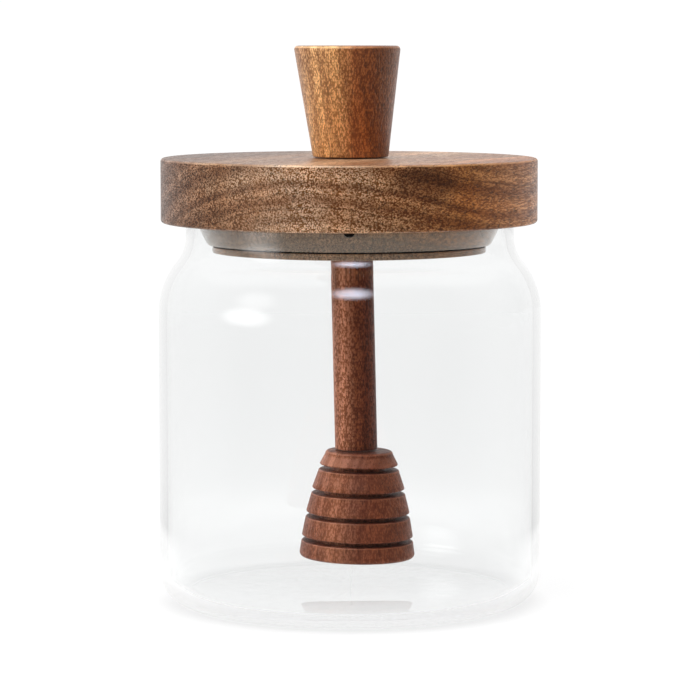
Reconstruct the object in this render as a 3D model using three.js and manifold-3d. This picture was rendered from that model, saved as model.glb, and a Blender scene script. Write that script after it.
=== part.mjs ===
// Clear glass storage jar with a turned wooden lid. A clear silicone seal round the lid's plug
// grips the neck, and a wooden honey dipper hangs from the plug into the jar.
// Millimetres, +Z up, with the origin at the centre of the jar's base.
import * as THREE from 'three';
import { mergeVertices } from 'three/addons/utils/BufferGeometryUtils.js';
import Module from 'manifold-3d';

const wasm = await Module();
wasm.setup();

const degree = Math.PI / 180;

// Room between pieces that touch
const gap = 0.3;

// Glass jar: straight side, shoulder of one full and one hollow arc, straight neck
const jarRadius = 50;
const neckRadius = 42.9;
const rimHeight = 99.7;
const glassWall = 2.2;
const glassFloor = 3;
const baseCorner = 8;
const insideCorner = 4;
const shoulderStart = 76.3;
const shoulderArc = 21;
const shoulderTurn = 40 * degree;
const jarSegments = 68;
const jarArcSteps = 6;

// Lid: a disc that lies on the rim, and the plug turned under it
const lidRadius = 49.1;
const lidThickness = 16.5;
const lidEdge = 0.8;
const lidOffset = -0.2;
const plugRadius = 33.5;
const plugDepth = 7.5;
const plugEdge = 0.6;
const lidSegments = 88;

// Silicone seal: a lip at the plug's foot, and a fin that spreads up to the glass
const sealTopRadius = 40.2;
const sealFinFoot = 36.7;
const sealFinBow = new THREE.Vector2(2.2, 2.3);
const sealLipRadius = 35.7;
const sealDepth = 7.9;
const sealLipHeight = 1.9;
const sealGroove = 0.5;
const sealGrooveDepth = 1.1;
const sealRimHeight = 0.7;
const sealEdge = 0.4;
const notchRadius = 1.45;
const notchDepth = 2.6;
const sealSegments = 56;

// Knob: a flared peg that leans a little to the left
const knobHeight = 28.8;
const knobTopRadius = 13.8;
const knobFootRadius = 9.9;
const knobTopEdge = 1;
const knobFootEdge = 0.4;
const knobOffset = 0.4;
const knobLean = 1.8 * degree;
const knobSegments = 48;

// Dipper stick: a plain dowel whose foot leans a little to the right
const stickRadius = 5.55;
const stickOffset = 0.65;
const stickLean = 1.35 * degree;
const stickSegments = 32;

// Dipper head: a beehive shape cut by deep narrow grooves
const headFoot = 11.7;
const headHeight = 28.1;
const headTopRadius = 8.9;
const headFootRadius = 15.15;
const headBulge = 1.05;
const headTopEdge = 0.9;
const headFootEdge = 1;
const ringEdge = 0.45;
const grooveCount = 4;
const firstGroove = 4.4;
const groovePitch = 6.28;
const grooveWidth = 1.2;
const grooveDepth = 3.4;
const headOffset = 2.35;
const headTilt = 1.2 * degree;
const headSegments = 40;

// Points of an arc in a profile of radius and height
function arc(centreRadius, centreHeight, radius, from, to, steps) {
  const points = [];
  for (let step = 0; step <= steps; step++) {
    const angle = from + (to - from) * step / steps;
    const across = centreRadius + radius * Math.cos(angle);
    const up = centreHeight + radius * Math.sin(angle);
    points.push([across, up]);
  }
  return points;
}

// A profile of [radius, height] pairs turned round the vertical axis
function turned(profile, segments) {
  const points = profile.map(([across, up]) => new THREE.Vector2(across, up));
  const geometry = new THREE.LatheGeometry(points, segments);
  geometry.rotateX(Math.PI / 2);
  return geometry;
}

// A geometry pushed sideways with height, so that it leans and its ends stay level
function leaning(geometry, lean) {
  const push = new THREE.Matrix4().makeShear(0, 0, 0, 0, -Math.tan(lean), 0);
  return geometry.applyMatrix4(push);
}

// A closed geometry as a solid that can be cut
function solidOf(geometry) {
  const bare = geometry.clone();
  bare.deleteAttribute('normal');
  bare.deleteAttribute('uv');
  const merged = mergeVertices(bare);
  const vertProperties = new Float32Array(merged.attributes.position.array);
  const triVerts = new Uint32Array(merged.index.array);
  const mesh = new wasm.Mesh({ numProp: 3, vertProperties, triVerts });
  return new wasm.Manifold(mesh);
}

// A solid as a geometry again
function geometryOf(solid) {
  const mesh = solid.getMesh();
  const geometry = new THREE.BufferGeometry();
  geometry.setAttribute('position', new THREE.BufferAttribute(mesh.vertProperties, 3));
  geometry.setIndex(new THREE.BufferAttribute(mesh.triVerts, 1));
  geometry.computeVertexNormals();
  return geometry;
}

function named(name, geometry, material) {
  const mesh = new THREE.Mesh(geometry, material);
  mesh.name = name;
  return mesh;
}

// One face of the glass from its floor up to the straight neck, set in from the outside
function glassSide(inset, floor, corner) {
  const hollowArc = (jarRadius - neckRadius) / (1 - Math.cos(shoulderTurn)) - shoulderArc;
  const neckStart = shoulderStart + (shoulderArc + hollowArc) * Math.sin(shoulderTurn);
  const cornerCentre = jarRadius - inset - corner;
  const foot = arc(cornerCentre, floor + corner, corner, -Math.PI / 2, 0, jarArcSteps);
  const fullCentre = jarRadius - shoulderArc;
  const full = arc(fullCentre, shoulderStart, shoulderArc - inset, 0, shoulderTurn, jarArcSteps);
  const hollowCentre = neckRadius + hollowArc;
  const hollowFrom = Math.PI + shoulderTurn;
  const hollow = arc(hollowCentre, neckStart, hollowArc + inset, hollowFrom, Math.PI, jarArcSteps);
  return [...foot, ...full, ...hollow.slice(1)];
}

function jarGeometry() {
  const lip = glassWall / 2;
  const rim = arc(neckRadius - lip, rimHeight - lip, lip, 0, Math.PI, jarArcSteps);
  const outside = glassSide(0, 0, baseCorner);
  const inside = glassSide(glassWall, glassFloor, insideCorner).reverse();
  return turned([[0, 0], ...outside, ...rim, ...inside, [0, glassFloor]], jarSegments);
}

// The lid's heights count from its underside
function lidGeometry() {
  const inner = lidRadius - lidEdge;
  const profile = [
    [0, -plugDepth],
    [plugRadius - plugEdge, -plugDepth],
    [plugRadius, plugEdge - plugDepth],
    [plugRadius, 0],
    ...arc(inner, lidEdge, lidEdge, -Math.PI / 2, 0, 3),
    ...arc(inner, lidThickness - lidEdge, lidEdge, 0, Math.PI / 2, 3),
    [0, lidThickness],
  ];
  return turned(profile, lidSegments);
}

// The seal's heights count from its top
function sealGeometry() {
  const inside = plugRadius + gap;
  const lipTop = sealLipHeight - sealDepth;
  const finFoot = lipTop + sealGroove;
  const finStart = new THREE.Vector2(sealFinFoot, finFoot);
  const finBow = finStart.clone().add(sealFinBow);
  const finEnd = new THREE.Vector2(sealTopRadius, -sealRimHeight);
  const fin = new THREE.QuadraticBezierCurve(finStart, finBow, finEnd);
  const profile = [
    [inside, -sealDepth],
    [sealLipRadius - sealEdge, -sealDepth],
    [sealLipRadius, sealEdge - sealDepth],
    [sealLipRadius, lipTop],
    [sealLipRadius - sealGrooveDepth, lipTop],
    [sealLipRadius - sealGrooveDepth, finFoot],
    ...fin.getPoints(5).map((point) => [point.x, point.y]),
    [sealTopRadius, 0],
    [inside, 0],
    [inside, -sealDepth],
  ];
  const ring = solidOf(turned(profile, sealSegments));
  const cutter = new THREE.CylinderGeometry(notchRadius, notchRadius, 2 * notchDepth, 16);
  cutter.translate(0, -sealTopRadius, 0);
  return geometryOf(ring.subtract(solidOf(cutter)));
}

function knobGeometry() {
  const flare = Math.atan((knobTopRadius - knobFootRadius) / knobHeight);
  const shoulder = knobTopRadius - knobTopEdge;
  const profile = [
    [0, 0],
    [knobFootRadius - knobFootEdge, 0],
    [knobFootRadius, knobFootEdge],
    ...arc(shoulder, knobHeight - knobTopEdge, knobTopEdge, -flare, Math.PI / 2, 4),
    [0, knobHeight],
  ];
  return leaning(turned(profile, knobSegments), knobLean);
}

// The stick hangs down from height 0
function stickGeometry(length) {
  const profile = [[0, -length], [stickRadius, -length], [stickRadius, 0], [0, 0]];
  return leaning(turned(profile, stickSegments), stickLean);
}

// The head's radius at a depth below its top
function headRadius(depth) {
  const share = depth / headHeight;
  const straight = headTopRadius + (headFootRadius - headTopRadius) * share;
  return straight + 4 * headBulge * share * (1 - share);
}

// Heights count from the head's middle, and the rings are laid from the foot up
function headGeometry() {
  const profile = [[0, -headHeight / 2]];
  for (let ring = grooveCount; ring >= 0; ring--) {
    const atFoot = ring === grooveCount;
    const atTop = ring === 0;
    const low = atFoot ? headHeight : firstGroove + ring * groovePitch - grooveWidth / 2;
    const high = atTop ? 0 : firstGroove + (ring - 1) * groovePitch + grooveWidth / 2;
    const lowEdge = atFoot ? headFootEdge : ringEdge;
    const highEdge = atTop ? headTopEdge : ringEdge;
    const outline = [
      ...arc(headRadius(low) - lowEdge, lowEdge - low, lowEdge, -Math.PI / 2, 0, 2),
      ...arc(headRadius(high) - highEdge, -high - highEdge, highEdge, 0, Math.PI / 2, 2),
    ];
    if (!atFoot) {
      profile.push([headRadius(low) - grooveDepth, headHeight / 2 - low]);
    }
    profile.push(...outline.map(([across, up]) => [across, up + headHeight / 2]));
    if (!atTop) {
      profile.push([headRadius(high) - grooveDepth, headHeight / 2 - high]);
    }
  }
  profile.push([0, headHeight / 2]);
  return turned(profile, headSegments);
}

function wood(colour) {
  return new THREE.MeshStandardMaterial({ color: colour, roughness: 0.6, metalness: 0 });
}

const glass = new THREE.MeshStandardMaterial({
  color: 0xf2f6f5, roughness: 0.03, metalness: 0, transparent: true, opacity: 0.25,
});
const silicone = new THREE.MeshStandardMaterial({
  color: 0xd9d6d0, roughness: 0.35, metalness: 0, transparent: true, opacity: 0.6,
});

const lidUnderside = rimHeight + gap;
const lidTop = lidUnderside + lidThickness;
const stickTop = lidUnderside - plugDepth - gap;
const stickFoot = headFoot + headHeight + gap + headTopRadius * Math.sin(headTilt);

const jar = named('glass_jar', jarGeometry(), glass);
const lid = named('lid', lidGeometry(), wood(0x7b5a41));
lid.position.z = lidUnderside;
const seal = named('seal_ring', sealGeometry(), silicone);
seal.position.z = rimHeight;
const knob = named('knob', knobGeometry(), wood(0x8e5b39));
knob.position.set(knobOffset, 0, lidTop + gap);
const stick = named('dipper_stick', stickGeometry(stickTop - stickFoot), wood(0x60443b));
stick.position.set(stickOffset, 0, stickTop);
const head = named('dipper_head', headGeometry(), wood(0x6b4133));
head.position.set(headOffset, 0, headFoot + headHeight / 2);
head.rotation.y = headTilt;

// The lid sits a little off the jar's centre and carries all but the glass
const lidAssembly = new THREE.Group();
lidAssembly.position.x = lidOffset;
lidAssembly.add(lid, seal, knob, stick, head);

const honeyJar = new THREE.Group();
honeyJar.add(jar, lidAssembly);

export default honeyJar;
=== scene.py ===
# A clear glass storage jar with a turned wooden lid, and the honey dipper that hangs from the lid.
# Metres, +Z up, with the origin at the centre of the jar's base. The jar's front faces -Y.
import math

import bmesh
import bpy
from mathutils import Matrix, Vector, noise


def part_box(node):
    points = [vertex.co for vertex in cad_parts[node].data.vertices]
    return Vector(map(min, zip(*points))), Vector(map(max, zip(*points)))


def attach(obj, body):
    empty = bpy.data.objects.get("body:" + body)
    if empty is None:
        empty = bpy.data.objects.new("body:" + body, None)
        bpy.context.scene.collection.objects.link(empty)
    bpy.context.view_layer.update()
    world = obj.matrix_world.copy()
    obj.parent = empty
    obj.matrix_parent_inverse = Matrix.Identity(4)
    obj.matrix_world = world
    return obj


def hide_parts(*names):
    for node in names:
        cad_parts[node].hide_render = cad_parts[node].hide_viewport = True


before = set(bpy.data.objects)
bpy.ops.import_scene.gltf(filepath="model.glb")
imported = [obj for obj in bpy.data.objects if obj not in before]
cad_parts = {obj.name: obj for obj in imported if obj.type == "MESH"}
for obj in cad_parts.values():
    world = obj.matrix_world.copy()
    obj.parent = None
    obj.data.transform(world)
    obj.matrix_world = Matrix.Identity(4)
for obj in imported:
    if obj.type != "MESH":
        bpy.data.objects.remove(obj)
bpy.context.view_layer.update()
mm = 0.001


# The glass jar
# One blown piece of clear glass: a straight side on a rounded heel, a shoulder drawn in to a
# straight neck, and a rim melted smooth. It stands on its flat base and holds up the lid.

jar_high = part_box("glass_jar")[1]
jar_radius = jar_high.x
rim_height = jar_high.z
neck_radius = 42.9 * mm
glass_wall = 2.2 * mm
glass_floor = 3 * mm
rim_round = 0.4 * mm
heel_round = 8 * mm
inside_heel_round = 5.8 * mm
shoulder_start = 76.3 * mm
shoulder_round = 21 * mm
shoulder_turn = 40
shoulder_angle = math.radians(shoulder_turn)
hollow_round = (jar_radius - neck_radius) / (1 - math.cos(shoulder_angle)) - shoulder_round
neck_start = shoulder_start + (shoulder_round + hollow_round) * math.sin(shoulder_angle)
jar_sides = 256
uneven_by = 0.008 * mm
uneven_foot = 1.3 * glass_floor
uneven_top = shoulder_start + 8 * mm
waves_round = 2.2
waves_up = 9
glass_clear = (0.985, 0.99, 0.99, 1)
glass_bend = 1.47
most_bounces = 2.5
touching = 1e-7


def arc(across, up, radius, start, end, steps):
    """Points of a round stretch of a profile about a centre, from one angle to another, in degrees."""
    turns = [math.radians(start + (end - start) * step / steps) for step in range(steps + 1)]
    return [(across + radius * math.cos(turn), up + radius * math.sin(turn)) for turn in turns]


def straight(start, end, steps):
    """Points between two others of a profile, without the two."""
    shares = [step / steps for step in range(1, steps)]
    return [tuple(a + (b - a) * share for a, b in zip(start, end)) for share in shares]


def turned(name, profile, sides, touch=None):
    """A piece turned on a lathe from a profile of (radius, height). touch can shift a point a little."""
    work = bmesh.new()
    rings = []
    for across, up in profile:
        count = sides if across > touching else 1
        ring = []
        for side in range(count):
            angle = 2 * math.pi * side / sides
            reach, height = touch(across, up, angle) if touch else (across, up)
            ring.append(work.verts.new((reach * math.cos(angle), reach * math.sin(angle), height)))
        rings.append(ring)
    for inner, outer in zip(rings, rings[1:]):
        for side in range(sides):
            follow = (side + 1) % sides
            corners = [inner[side % len(inner)], inner[follow % len(inner)]]
            corners += [outer[follow % len(outer)], outer[side % len(outer)]]
            work.faces.new(list(dict.fromkeys(corners)))
    bmesh.ops.remove_doubles(work, verts=work.verts, dist=touching)
    bmesh.ops.recalc_face_normals(work, faces=work.faces)
    mesh = bpy.data.meshes.new(name)
    work.to_mesh(mesh)
    work.free()
    mesh.shade_smooth()
    piece = bpy.data.objects.new(name, mesh)
    bpy.context.scene.collection.objects.link(piece)
    return piece


def fitted(piece, node, material):
    """Puts a finished piece in the place of its plain solid."""
    piece.data.materials.append(material)
    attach(piece, "root")
    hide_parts(node)


def add(owner, kind, values=None, **settings):
    """Adds a node to a material, a light or the room.

    A value that is another node's socket is linked, and any other is set."""
    new = owner.node_tree.nodes.new("ShaderNode" + kind)
    for name, setting in settings.items():
        setattr(new, name, setting)
    for name, value in (values or {}).items():
        if isinstance(value, bpy.types.NodeSocket):
            owner.node_tree.links.new(value, new.inputs[name])
        else:
            new.inputs[name].default_value = value
    return new


def reckoned(owner, operation, *values):
    """A number worked out from others."""
    return add(owner, "Math", dict(enumerate(values)), operation=operation).outputs[0]


def new_material(name):
    material = bpy.data.materials.new(name)
    material.use_nodes = True
    material.node_tree.nodes.clear()
    return material


def lit_through(material, shader, clear):
    """Finishes a clear material with its shader, and lets the lamps' light straight through it."""
    ray = add(material, "LightPath")
    film = add(material, "BsdfTransparent", {"Color": clear})
    sides = {0: ray.outputs["Is Shadow Ray"], 1: shader.outputs[0], 2: film.outputs[0]}
    either = add(material, "MixShader", sides)
    add(material, "OutputMaterial", {"Surface": either.outputs[0]})


def glass_side(inset, floor, heel):
    """One face of the glass from its floor up to the straight neck, set in from the outside."""
    reach = jar_radius - inset
    full_centre = jar_radius - shoulder_round
    full = arc(full_centre, shoulder_start, shoulder_round - inset, 0, shoulder_turn, 20)
    hollow_centre = neck_radius + hollow_round
    hollow = arc(hollow_centre, neck_start, hollow_round + inset, 180 + shoulder_turn, 180, 12)
    foot = arc(reach - heel, floor + heel, heel, -90, 0, 14)
    return foot + straight(foot[-1], full[0], 24) + full + hollow[1:]


def blown(across, up, angle):
    """The inner face of blown glass is never quite even."""
    inside = across < jar_radius - 0.7 * glass_wall and uneven_foot < up < uneven_top
    if not inside:
        return across, up
    around = Vector((math.cos(angle) * waves_round, math.sin(angle) * waves_round, up * waves_up))
    return across + uneven_by * noise.noise(around), up


rim = arc(neck_radius - rim_round, rim_height - rim_round, rim_round, 0, 90, 6)
rim += arc(neck_radius - glass_wall + rim_round, rim_height - rim_round, rim_round, 90, 180, 6)
jar_outside = glass_side(0, 0, heel_round)
jar_inside = glass_side(glass_wall, glass_floor, inside_heel_round)
underside = [(0, 0)] + straight((0, 0), jar_outside[0], 8)
inside_floor = straight(jar_inside[0], (0, glass_floor), 8) + [(0, glass_floor)]
jar_profile = underside + jar_outside + rim + jar_inside[::-1] + inside_floor
jar = turned("jar_glass", jar_profile, jar_sides, blown)

# Light that is caught in the heel gets out after a few bounces, so the heel stays clear
glass = new_material("clear_glass")
body = add(glass, "BsdfPrincipled", {
    "Base Color": glass_clear, "Roughness": 0, "IOR": glass_bend, "Transmission Weight": 1,
})
bounces = add(glass, "LightPath").outputs["Glossy Depth"]
caught = reckoned(glass, "GREATER_THAN", bounces, most_bounces)
way_out = add(glass, "BsdfTransparent")
freed = add(glass, "MixShader", {0: caught, 1: body.outputs[0], 2: way_out.outputs[0]})
lit_through(glass, freed, (1, 1, 1, 1))
fitted(jar, "glass_jar", glass)


# The lid
# A thick disc of open-grained brown wood with a plug turned under it, oiled and left unfilled.
# It is cut from a plank, so its fibres run level, from its front left to its back right.

lid_low, lid_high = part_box("lid")
lid_centre = Vector(((lid_low.x + lid_high.x) / 2, 0, 0))
lid_radius = (lid_high.x - lid_low.x) / 2
lid_top = lid_high.z
lid_underside = lid_top - 16.7 * mm
lid_edge = 0.8 * mm
plug_radius = 33.5 * mm
plug_edge = 0.6 * mm
lid_sides = 256

shoulder = lid_radius - lid_edge
lid_profile = [(0, lid_low.z)] + straight((0, lid_low.z), (plug_radius - plug_edge, lid_low.z), 4)
lid_profile += arc(plug_radius - plug_edge, lid_low.z + plug_edge, plug_edge, -90, 0, 4)
lid_profile += [(plug_radius, lid_underside)]
lid_profile += arc(shoulder, lid_underside + lid_edge, lid_edge, -90, 0, 8)
lid_profile += arc(shoulder, lid_top - lid_edge, lid_edge, 0, 90, 8)
lid_profile += straight((shoulder, lid_top), (0, lid_top), 8) + [(0, lid_top)]
lid = turned("lid_wood", lid_profile, lid_sides)
lid.data.transform(Matrix.Translation(lid_centre))

# What each part of the wood's figure does to its tone
early_gain = (0.22, 0.27, 0.3)
late_loss = (0.35, 0.44, 0.5)
ring_line_tint = (0.35, 0.26, 0.2)
cloud_tint = (1.08, 0.95, 0.82)
stain_tint = (0.34, 0.26, 0.22)
end_grain_tint = (0.72, 0.7, 0.72)
fleck_tint = (0.7, 0.88, 1.05)
# Painted highlight: how much paler the round upper edges are painted, standing in for the light they catch
edge_highlight_tint = (2, 2.6, 3.3)
oil_tint = (1, 0.9, 0.7, 1)
fibre_sway = 0.9 * mm
ring_sway = 3 * mm
grain_depth = 0.1 * mm

# The figure's spots: length, width, how finely they break up, and where the noise is taken from
drift_spots = (60 * mm, 14 * mm, 2, 3.1)
cloud_spots = (40 * mm, 9 * mm, 2, 7.7)
fibre_spots = (9 * mm, 0.5 * mm, 3, 1.3)
pore_spots = (4 * mm, 0.45 * mm, 1, 9.2)
fibre_range = (0.3, 0.7)
pore_range = (0.58, 0.7)


def spread(owner, value, low, high, start=0, end=1, course="LINEAR"):
    """Maps one range of a value to another and holds it there."""
    values = {"Value": value, "From Min": low, "From Max": high, "To Min": start, "To Max": end}
    return add(owner, "MapRange", values, clamp=True, interpolation_type=course).outputs[0]


def sum_of(owner, *values):
    total = values[0]
    for value in values[1:]:
        total = reckoned(owner, "ADD", total, value)
    return total


def vector(owner, operation, *values):
    """A vector worked out from others."""
    return add(owner, "VectorMath", dict(enumerate(values)), operation=operation).outputs[0]


def product(owner, first, second):
    """Two colours or a colour and a share, multiplied."""
    return vector(owner, "MULTIPLY", first, second)


def scaled(owner, colour, share):
    return add(owner, "VectorMath", {0: colour, "Scale": share}, operation="SCALE").outputs[0]


def length_of(owner, reach):
    return add(owner, "VectorMath", {0: reach}, operation="LENGTH").outputs["Value"]


def distance_along(owner, reach, way):
    values = {0: reach, 1: way}
    return add(owner, "VectorMath", values, operation="DOT_PRODUCT").outputs["Value"]


def part_of(owner, reach, axis):
    return add(owner, "SeparateXYZ", {0: reach}).outputs[axis]


def laid_along(material, reach, turn):
    values = {"Vector": reach, "Rotation": turn}
    return add(material, "VectorRotate", values, rotation_type="EULER_XYZ").outputs[0]


def mixed(material, share, first, second):
    """A colour between two others."""
    mix = add(material, "Mix", {"Factor": share}, data_type="RGBA")
    for socket, colour in ((mix.inputs[6], first), (mix.inputs[7], second)):
        if isinstance(colour, bpy.types.NodeSocket):
            material.node_tree.links.new(colour, socket)
        else:
            socket.default_value = colour
    return mix.outputs[2]


def tinted(material, share, colour, tint):
    """A colour that takes on a tint by a share."""
    return mixed(material, share, colour, product(material, colour, tint))


def figure(material, place, length, width, detail, shift):
    """Noise whose spots have a length along the fibres and a width across them, in metres."""
    stretch = (1 / length, 1 / width, 1 / width)
    where = vector(material, "MULTIPLY_ADD", place, stretch, (shift, shift, shift))
    return add(material, "TexNoise", {"Vector": where, "Scale": 1, "Detail": detail}).outputs[0]


def banded(material, value, tones):
    """A colour that changes along a value. tones gives (place, colour) pairs, from the lowest place up."""
    low, high = tones[0][0], tones[-1][0]
    ramp = add(material, "ValToRGB", {0: spread(material, value, low, high)})
    steps = ramp.color_ramp.elements
    while len(steps) < len(tones):
        steps.new(0.5)
    for step, (place, colour) in zip(steps, tones):
        step.position = (place - low) / (high - low)
        step.color = (*colour, 1)
    return ramp.outputs[0]


def wood(
    name, turn, centre, heart, layer, tones, way, cell, contrast, roughness, streaks, stain=None,
    shine=0.25,
):
    """Oiled wood. turn lays X along the fibres, and heart is where the tree's middle lies across them.

    A layer is a year's growth, and the tones change along way; on the knob, the stick and the head
    they are lighter on the left and darker on the right, as painted light and shade. A cell is the
    (length, width) of the dashes that the wood's vessels leave, and contrast is how far these stand out
    (along the fibres, on cut ends). streaks is how strong rings, fibres and pores are, and shine how
    strongly the oil mirrors. A stain is a darker streak along the fibres, given by its place across
    them and its half sizes. Round upper edges are painted paler, as a painted highlight."""
    made = new_material(name)
    here = add(made, "TexCoord")
    normal = here.outputs["Normal"]
    moved = vector(made, "SUBTRACT", here.outputs["Object"], centre)
    laid = laid_along(made, moved, turn)
    wander = add(made, "TexNoise", {"Vector": laid, "Scale": 70, "Detail": 1}).outputs["Color"]
    place = vector(made, "MULTIPLY_ADD", wander, (0, fibre_sway, fibre_sway), laid)
    endwise = part_of(made, laid_along(made, normal, turn), "X")
    endwise = reckoned(made, "MULTIPLY", endwise, endwise)
    clouds = figure(made, place, *cloud_spots)
    fibres = figure(made, place, *fibre_spots)
    pores = figure(made, place, *pore_spots)

    # Year rings about the heart, with a thin dark line between some of them
    drift = figure(made, place, *drift_spots)
    from_heart = vector(made, "ADD", place, (0, -heart[0], -heart[1]))
    reach = length_of(made, product(made, from_heart, (0, 1, 1)))
    bent = reckoned(made, "MULTIPLY_ADD", drift, ring_sway, reach)
    ring_values = {"W": reckoned(made, "DIVIDE", bent, layer), "Scale": 1, "Detail": 2}
    rings = add(made, "TexNoise", ring_values, noise_dimensions="1D").outputs[0]
    base = banded(made, reckoned(made, "DIVIDE", distance_along(made, moved, way), mm), tones)
    early = product(made, base, tuple(1 + part * streaks for part in early_gain))
    late = product(made, base, tuple(1 - part * streaks for part in late_loss))
    colour = mixed(made, spread(made, rings, 0.36, 0.64), early, late)
    line = spread(made, reckoned(made, "COMPARE", rings, 0.5, 0.004), 0, 1, 0, 0.55)
    colour = mixed(made, line, colour, product(made, base, ring_line_tint))

    # Warmer clouds, the stain, and darker cut ends
    colour = tinted(made, spread(made, clouds, 0.35, 0.65), colour, cloud_tint)
    if stain:
        middle, half = stain
        off = vector(made, "ADD", place, (0, -middle[0], -middle[1]))
        far = length_of(made, product(made, off, (0, 1 / half[0], 1 / half[1])))
        ragged = reckoned(made, "MULTIPLY_ADD", clouds, 1.6, far)
        colour = tinted(made, spread(made, ragged, 1.4, 2.1, 0.8, 0), colour, stain_tint)
    colour = tinted(made, endwise, colour, end_grain_tint)

    # Flecks where the vessels are cut open, then the painted highlight on round upper edges, and the pores
    cells = product(made, place, (1 / cell[0], 1 / cell[1], 1 / cell[1]))
    vessels = add(made, "TexVoronoi", {"Vector": cells, "Scale": 1})
    dash = add(made, "SeparateColor", {0: vessels.outputs["Color"]}).outputs[0]
    core = spread(made, vessels.outputs["Distance"], 0.2, 0.8, 1, 0)
    fleck = sum_of(
        made,
        spread(made, dash, 0, 1, -1.4, 1.4),
        spread(made, core, 0, 1, -1.1, 0.9),
        spread(made, fibres, *fibre_range, -0.6 * streaks, 0.6 * streaks),
    )
    depth = spread(made, endwise, 0.1, 0.6, *contrast)
    swing = reckoned(made, "MULTIPLY", spread(made, fleck, -0.8, 0.8, -1, 1), depth)
    hue = vector(made, "ADD", scaled(made, fleck_tint, swing), (1, 1, 1))
    # Painted highlight: round edges that face partly upward are painted paler, where light would catch
    # them
    rise = part_of(made, normal, "Z")
    edge = spread(made, rise, 0.3, 0.55, 0, spread(made, rise, 0.8, 0.97, 0.8, 0))
    edge_highlit = mixed(made, edge, product(made, colour, hue), product(made, colour, edge_highlight_tint))
    shade = scaled(made, edge_highlit, spread(made, pores, *pore_range, 1, 1 - 0.6 * streaks))

    height = sum_of(
        made,
        spread(made, fibres, *fibre_range, 0, 0.5),
        spread(made, pores, *pore_range, 0, -1),
        spread(made, dash, 0, 1, 0, 0.5),
    )
    bump = add(made, "Bump", {"Strength": 0.7, "Distance": grain_depth, "Height": height})
    surface = add(made, "BsdfPrincipled", {
        "Base Color": shade, "Roughness": spread(made, dash, 0, 1, roughness + 0.08, roughness - 0.08),
        "Normal": bump.outputs[0], "Specular IOR Level": shine, "Specular Tint": oil_tint,
    })
    add(made, "OutputMaterial", {"Surface": surface.outputs[0]})
    return made


lid_fibre = 246
lid_turn = (0, 0, math.radians(-lid_fibre))
lid_across = Vector((math.cos(math.radians(lid_fibre - 90)), math.sin(math.radians(lid_fibre - 90)), 0))
lid_heart = (10 * mm, -90 * mm)
lid_stain = ((35.5 * mm, -4.2 * mm), (6 * mm, 4.4 * mm))
lid_tones = [
    (-42, (0.137, 0.07, 0.048)), (-14, (0.265, 0.136, 0.068)), (8, (0.58, 0.36, 0.22)),
    (30, (0.43, 0.215, 0.1)), (43, (0.33, 0.118, 0.029)), (50, (0.4, 0.172, 0.07)),
]
lid_finish = wood(
    "oiled_lid_wood", lid_turn, lid_centre + Vector((0, 0, lid_top)), lid_heart, 3.4 * mm, lid_tones,
    -lid_across, (2.2 * mm, 0.31 * mm), (0.5, 0.92), 0.37, 1, lid_stain, 0.5,
)
fitted(lid, "lid", lid_finish)


# The seal
# A moulded ring of clear silicone pressed over the plug. Its fin spreads up to the glass, a lip
# runs round its foot under a narrow groove, and a small notch at the front lets air out. The
# plug's wood shows through it, and the notch and the groove carry painted shade in dark brown.

seal_low, seal_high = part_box("seal_ring")
seal_top = seal_high.z
seal_foot = seal_low.z
seal_reach = (seal_high.x - seal_low.x) / 2
seal_bore = plug_radius - 0.1 * mm
lip_radius = 35.7 * mm
lip_height = 1.9 * mm
groove_height = 0.5 * mm
groove_depth = 2 * mm
fin_foot = 36.7 * mm
fin_bow = (2.2 * mm, 2.3 * mm)
fin_rim = 0.7 * mm
seal_edge = 0.4 * mm
notch_radius = 1.45 * mm
notch_depth = 2.6 * mm
seal_sides = 224
notch_sides = 40
crease = math.radians(35)
silicone_tint = (1, 0.83, 0.63, 1)
silicone_clear = (0.92, 0.92, 0.92, 1)
# Painted shade: the flat dark brown of the notch and the groove
painted_hollow_tone = (0.035, 0.02, 0.013, 1)


def bowed(start, middle, end, steps):
    """Points of a curve that leaves start towards middle and comes to end."""
    points = []
    for step in range(steps + 1):
        share = step / steps
        weights = ((1 - share) ** 2, 2 * share * (1 - share), share ** 2)
        points.append(tuple(sum(w * p[i] for w, p in zip(weights, (start, middle, end))) for i in (0, 1)))
    return points


lip_top = seal_foot + lip_height
groove_top = lip_top + groove_height
groove_floor = lip_radius - groove_depth
fin_middle = (fin_foot + fin_bow[0], groove_top + fin_bow[1])
seal_profile = [(seal_bore, seal_foot)]
seal_profile += arc(lip_radius - seal_edge, seal_foot + seal_edge, seal_edge, -90, 0, 4)
seal_profile += arc(lip_radius - seal_edge, lip_top - seal_edge, seal_edge, 0, 90, 4)
seal_profile += [(groove_floor, lip_top), (groove_floor, groove_top)]
seal_profile += bowed((fin_foot, groove_top), fin_middle, (seal_reach, seal_top - fin_rim), 14)
seal_profile += [(seal_reach, seal_top), (seal_bore, seal_top), (seal_bore, seal_foot)]
seal = turned("seal_silicone", seal_profile, seal_sides)
seal.data.transform(Matrix.Translation(lid_centre))

notch_profile = [(0, -notch_depth), (notch_radius, -notch_depth)]
notch_profile += [(notch_radius, notch_depth), (0, notch_depth)]
cutter = turned("notch", notch_profile, notch_sides)
cutter.data.transform(Matrix.Rotation(math.radians(90), 4, "X"))
cutter.data.transform(Matrix.Translation(lid_centre + Vector((0, -seal_reach, seal_top))))


def cut(piece, cutter):
    """Takes the cutter's shape out of a piece for good."""
    work = piece.modifiers.new("cut", "BOOLEAN")
    work.object = cutter
    work.solver = "EXACT"
    work.material_mode = "TRANSFER"
    shape = bpy.data.meshes.new_from_object(piece.evaluated_get(bpy.context.evaluated_depsgraph_get()))
    piece.modifiers.clear()
    piece.data = shape
    bpy.data.objects.remove(cutter)


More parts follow.
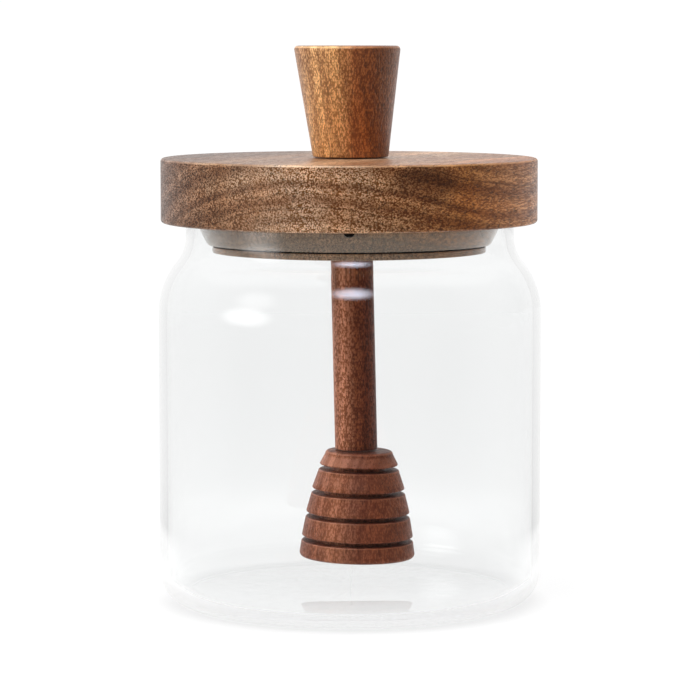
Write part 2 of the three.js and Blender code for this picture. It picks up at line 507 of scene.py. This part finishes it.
silicone = new_material("clear_silicone")
softness = add(silicone, "BsdfPrincipled", {
    "Base Color": silicone_tint, "Roughness": 0.18, "IOR": 1.41, "Transmission Weight": 0.9,
})
lit_through(silicone, softness, silicone_clear)
# Painted shade: a flat dark brown for the faces of the notch and the groove, where there is only shade
painted_hollow_shade = new_material("painted_hollow_shade")
shade = add(painted_hollow_shade, "BsdfDiffuse", {"Color": painted_hollow_tone})
add(painted_hollow_shade, "OutputMaterial", {"Surface": shade.outputs[0]})
seal.data.materials.append(silicone)
seal.data.materials.append(lid_finish)
cutter.data.materials.append(painted_hollow_shade)
cut(seal, cutter)
hair = 0.05 * mm
# The bore's faces take the lid's wood, and the groove's faces take the painted shade
for face in seal.data.polygons:
    in_groove = lip_top - hair < face.center.z < groove_top + hair
    across = (face.center - lid_centre).to_2d().length
    if across < seal_bore + hair:
        face.material_index = seal.data.materials.find("oiled_lid_wood")
    elif in_groove and across < lip_radius - hair:
        face.material_index = seal.data.materials.find("painted_hollow_shade")
seal.data.set_sharp_from_angle(angle=crease)
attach(seal, "root")
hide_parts("seal_ring")


# The knob
# A flared peg of golden brown wood, turned with its fibres upright and glued to the lid. It stands
# a little crooked, leaning to the left.

knob_low, knob_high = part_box("knob")
knob_height = knob_high.z - knob_low.z
knob_top_radius = 13.8 * mm
knob_foot_radius = 9.9 * mm
knob_top_edge = 1 * mm
knob_foot_edge = 0.4 * mm
knob_place = Vector((lid_centre.x + 0.4 * mm, 0, knob_low.z))
knob_lean = math.radians(1.8)
knob_sides = 160


def leaning(piece, lean):
    """Pushes a piece sideways with height, so that it leans and its ends stay level."""
    push = Matrix.Identity(4)
    push[0][2] = -math.tan(lean)
    piece.data.transform(push)


flare = math.degrees(math.atan((knob_top_radius - knob_foot_radius) / knob_height))
knob_shoulder = knob_top_radius - knob_top_edge
knob_foot = knob_foot_radius - knob_foot_edge
knob_profile = [(0, 0)] + arc(knob_foot, knob_foot_edge, knob_foot_edge, -90, -flare, 4)
knob_round = arc(knob_shoulder, knob_height - knob_top_edge, knob_top_edge, -flare, 90, 8)
knob_profile += straight(knob_profile[-1], knob_round[0], 16) + knob_round
knob_profile += straight(knob_round[-1], (0, knob_height), 4) + [(0, knob_height)]
knob = turned("knob_wood", knob_profile, knob_sides)
leaning(knob, knob_lean)
knob.data.transform(Matrix.Translation(knob_place))

upright = (0, math.radians(90), 0)
rightward = (1, 0, 0)
# The knob's own golden tones, painted lighter at the left and darker at the right as painted light and
# shade
knob_tones_and_painted_light = [
    (-13, (0.4, 0.19, 0.08)), (-9, (0.6, 0.32, 0.13)), (-4, (0.6, 0.31, 0.12)),
    (1, (0.4, 0.125, 0.037)), (9, (0.235, 0.064, 0.016)),
]
knob_finish = wood(
    "oiled_knob_wood", upright, knob_place, (20 * mm, 30 * mm), 2.6 * mm, knob_tones_and_painted_light, rightward,
    (0.7 * mm, 0.34 * mm), (0.6, 0.6), 0.36, 0.6, None, 1,
)
fitted(knob, "knob", knob_finish)


# The dipper's stick
# A plain dowel of dark reddish wood, glued under the plug and oiled. It hangs a little crooked,
# with its foot to the right.

stick_low, stick_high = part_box("dipper_stick")
stick_radius = 5.55 * mm
stick_length = stick_high.z - stick_low.z
stick_lean = math.radians(1.35)
stick_place = Vector((lid_centre.x + 0.65 * mm, 0, stick_high.z))
stick_sides = 96
stick_side = straight((stick_radius, -stick_length), (stick_radius, 0), 30)
stick_profile = [(0, -stick_length), (stick_radius, -stick_length)] + stick_side
stick_profile += [(stick_radius, 0), (0, 0)]
stick = turned("dipper_stick_wood", stick_profile, stick_sides)
leaning(stick, stick_lean)
stick.data.transform(Matrix.Translation(stick_place))
stick.data.set_sharp_from_angle(angle=crease)
# The stick's reddish tones, with painted light on its left half and painted shade on its right half
stick_tones_and_painted_light = [
    (-5, (0.36, 0.15, 0.09)), (-1, (0.37, 0.145, 0.08)), (1, (0.16, 0.042, 0.015)),
    (4, (0.12, 0.025, 0.009)),
]
stick_finish = wood(
    "oiled_stick_wood", upright, stick_place, (12 * mm, 25 * mm), 2 * mm, stick_tones_and_painted_light, rightward,
    (0.7 * mm, 0.34 * mm), (0.65, 0.65), 0.42, 0.4,
)
fitted(stick, "dipper_stick", stick_finish)


# The dipper's head
# A beehive of the same reddish wood, turned with four deep narrow grooves that hold the honey.
# It is glued to the foot of the stick.

head_foot = 11.7 * mm
head_height = 28.1 * mm
head_top_radius = 8.9 * mm
head_foot_radius = 15.15 * mm
head_bulge = 1.05 * mm
head_top_edge = 0.9 * mm
head_foot_edge = 1 * mm
ring_foot_edge = 0.35 * mm
ring_top_edge = 0.45 * mm
groove_count = 4
first_groove = 4.4 * mm
groove_pitch = 6.28 * mm
groove_width = 1.2 * mm
groove_cut = 3.4 * mm
head_tilt = math.radians(1.2)
head_place = Vector((lid_centre.x + 2.35 * mm, 0, head_foot + head_height / 2))
head_sides = 128


def head_radius(depth):
    """The head's radius at a depth below its top."""
    share = depth / head_height
    level = head_top_radius + (head_foot_radius - head_top_radius) * share
    return level + 4 * head_bulge * share * (1 - share)


head_profile = [(0, -head_height / 2)]
for ring in range(groove_count, -1, -1):
    at_foot = ring == groove_count
    at_top = ring == 0
    low = head_height if at_foot else first_groove + ring * groove_pitch - groove_width / 2
    high = 0 if at_top else first_groove + (ring - 1) * groove_pitch + groove_width / 2
    low_edge = head_foot_edge if at_foot else ring_foot_edge
    high_edge = head_top_edge if at_top else ring_top_edge
    edges = arc(head_radius(low) - low_edge, low_edge - low, low_edge, -90, 0, 6)
    side_top = (head_radius(high), -high - high_edge)
    edges += straight(edges[-1], side_top, 5)
    edges += arc(head_radius(high) - high_edge, -high - high_edge, high_edge, 0, 90, 6)
    if not at_foot:
        head_profile.append((head_radius(low) - groove_cut, head_height / 2 - low))
    head_profile += [(across, up + head_height / 2) for across, up in edges]
    if not at_top:
        head_profile.append((head_radius(high) - groove_cut, head_height / 2 - high))
head_profile.append((0, head_height / 2))
head = turned("dipper_head_wood", head_profile, head_sides)
head.data.transform(Matrix.Rotation(head_tilt, 4, "Y"))
head.data.transform(Matrix.Translation(head_place))
head.data.set_sharp_from_angle(angle=crease)
# The head's reddish tones, with a painted lit band left of its middle and painted shade at the right
head_tones_and_painted_light = [
    (-13, (0.22, 0.075, 0.043)), (-6, (0.33, 0.13, 0.075)), (0, (0.21, 0.06, 0.029)),
    (12, (0.22, 0.063, 0.028)),
]
head_finish = wood(
    "oiled_head_wood", upright, head_place, (16 * mm, 28 * mm), 2.2 * mm, head_tones_and_painted_light, rightward,
    (0.8 * mm, 0.36 * mm), (0.42, 0.42), 0.42, 0.6,
)
fitted(head, "dipper_head", head_finish)


# The table and the light
# A pale smooth table in a room that is bright behind the jar and dark before it. A large soft
# light stands at the left and another hangs high in front. Three more are only mirrored, and make
# the highlights at the left shoulder, on the seal and on the glass before the stick.

table_reach = 30
table_mesh = bpy.data.meshes.new("table")
table_work = bmesh.new()
table_corners = [
    table_work.verts.new((x * table_reach, y * table_reach, 0))
    for x, y in ((-1, -1), (1, -1), (1, 1), (-1, 1))
]
table_work.faces.new(table_corners)
table_work.to_mesh(table_mesh)
table_work.free()
table = bpy.data.objects.new("table", table_mesh)
bpy.context.scene.collection.objects.link(table)


def pale_share(owner, mirrored, shone):
    """How pale the room is: fully where it is seen, and less for what mirrors it or is lit by it."""
    ray = add(owner, "LightPath")
    turned_back = spread(owner, ray.outputs["Glossy Depth"], 0, 1, 1, spread(owner, mirrored, 0, 1))
    return spread(owner, ray.outputs["Diffuse Depth"], 0, 1, turned_back, shone)


room_light = 1.03
room_dark = 0.05
table_light = 0.9
table_dark = 0.05
# Painted shadow: how dark the table is painted under the jar
under_jar_shadow = 0.86
table_finish = new_material("pale_table")
spot = add(table_finish, "TexCoord").outputs["Object"]
spot_way = vector(table_finish, "NORMALIZE", spot)
from_jar = length_of(table_finish, spot)
near = spread(table_finish, from_jar, 60 * mm, 160 * mm, 1, 0)
behind = spread(table_finish, part_of(table_finish, spot_way, "Y"), -0.35, 1)
shone = spread(table_finish, part_of(table_finish, spot, "Y"), -500 * mm, -150 * mm)
pale = pale_share(table_finish, sum_of(table_finish, behind, near), shone)
# Painted shadow under the jar, fading out between 45 and 53 mm from its middle
shaded = spread(table_finish, from_jar, 45 * mm, 53 * mm, under_jar_shadow, 1)
table_grey = product(table_finish, spread(table_finish, pale, 0, 1, table_dark, table_light), shaded)
glow_grey = product(table_finish, spread(table_finish, pale, 0, 1, room_dark, room_light), shaded)
glow_share = spread(table_finish, from_jar, 300 * mm, 900 * mm, 0.8, 1)
lit = add(table_finish, "BsdfDiffuse", {"Color": table_grey})
glow = add(table_finish, "Emission", {"Color": glow_grey})
surface = add(table_finish, "MixShader", {0: glow_share, 1: lit.outputs[0], 2: glow.outputs[0]})
add(table_finish, "OutputMaterial", {"Surface": surface.outputs[0]})
table.data.materials.append(table_finish)

world = bpy.data.worlds.new("studio")
world.use_nodes = True
world.node_tree.nodes.clear()
bpy.context.scene.world = world
way = add(world, "TexCoord").outputs["Generated"]
way_y = part_of(world, way, "Y")
dim_right = spread(world, part_of(world, way, "X"), 0.6, 0.8, 1, 0.8)
mirrored = reckoned(world, "MULTIPLY", spread(world, way_y, -0.35, 1), dim_right)
pale = pale_share(world, mirrored, spread(world, way_y, -0.6, 0.1))
brightness = spread(world, pale, 0, 1, room_dark, room_light)
sky = add(world, "Background", {"Strength": brightness, "Color": (1, 1, 1, 1)})
add(world, "OutputWorld", {"Surface": sky.outputs[0]})

light_aim = Vector((0, 0, 75 * mm))
full_to = 0.2


def soft_light(name, azimuth, elevation, width, height, radiance, mirrored=False, colour=(1, 1, 1)):
    """A flat light one metre off that faces the jar. Azimuth counts from the front to the right.

    A light that is only mirrored fades towards its edge, and the others are mirrored by nothing."""
    light = bpy.data.lights.new(name, "AREA")
    light.shape = "RECTANGLE"
    light.size = width
    light.size_y = height
    light.energy = radiance * math.pi * width * height
    light.color = colour
    lamp = bpy.data.objects.new(name, light)
    bpy.context.scene.collection.objects.link(lamp)
    turn, lift = math.radians(azimuth), math.radians(elevation)
    way_out = (math.sin(turn) * math.cos(lift), -math.cos(turn) * math.cos(lift), math.sin(lift))
    lamp.location = light_aim + Vector(way_out)
    lamp.rotation_euler = Vector(way_out).to_track_quat("Z", "Y").to_euler()
    lamp.visible_camera = False
    lamp.visible_glossy = mirrored
    lamp.visible_transmission = mirrored
    lamp.visible_diffuse = not mirrored
    if not mirrored:
        return
    light.use_nodes = True
    light.node_tree.nodes.clear()
    spot = add(light, "NewGeometry").outputs["Position"]
    offset = vector(light, "SUBTRACT", spot, lamp.location)
    sides = lamp.rotation_euler.to_matrix().col
    across = distance_along(light, offset, sides[0] * 2 / width)
    up = distance_along(light, offset, sides[1] * 2 / height)
    from_middle = length_of(light, add(light, "CombineXYZ", {0: across, 1: up}).outputs[0])
    fade = spread(light, from_middle, full_to, 1, 1, 0, "SMOOTHSTEP")
    shine = add(light, "Emission", {"Color": (1, 1, 1, 1), "Strength": fade})
    add(light, "OutputLight", {"Surface": shine.outputs[0]})


soft_light("left_light", -70, 24, 0.7, 0.6, 5.4)
soft_light("high_light", -15, 68, 0.7, 0.7, 3.6)
soft_light("left_sheen", -62, 25, 0.62, 0.6, 1.2, True)
soft_light("low_sheen", -64, 5, 0.8, 0.5, 2.8, True)
soft_light("front_sheen", 2, 43, 0.5, 0.36, 11, True, (0.8, 0.85, 1))


# The camera
# It stands level with the knob, 0.85 m in front of the jar, and looks down a little. Its long lens
# keeps the lid and the base nearly as flat as they look level on.

camera_distance = 850 * mm
camera_height = 150.4 * mm
camera_side = 0.03 * mm
camera_pitch = 5.66
camera_lens = 167.6
lens = bpy.data.cameras.new("camera")
lens.lens = camera_lens
lens.sensor_width = 36
lens.clip_start = 0.01
camera = bpy.data.objects.new("camera", lens)
bpy.context.scene.collection.objects.link(camera)
camera.location = (camera_side, -camera_distance, camera_height)
camera.rotation_euler = (math.radians(90 - camera_pitch), 0, 0)
bpy.context.scene.camera = camera
bpy.context.scene.view_settings.view_transform = "Standard"
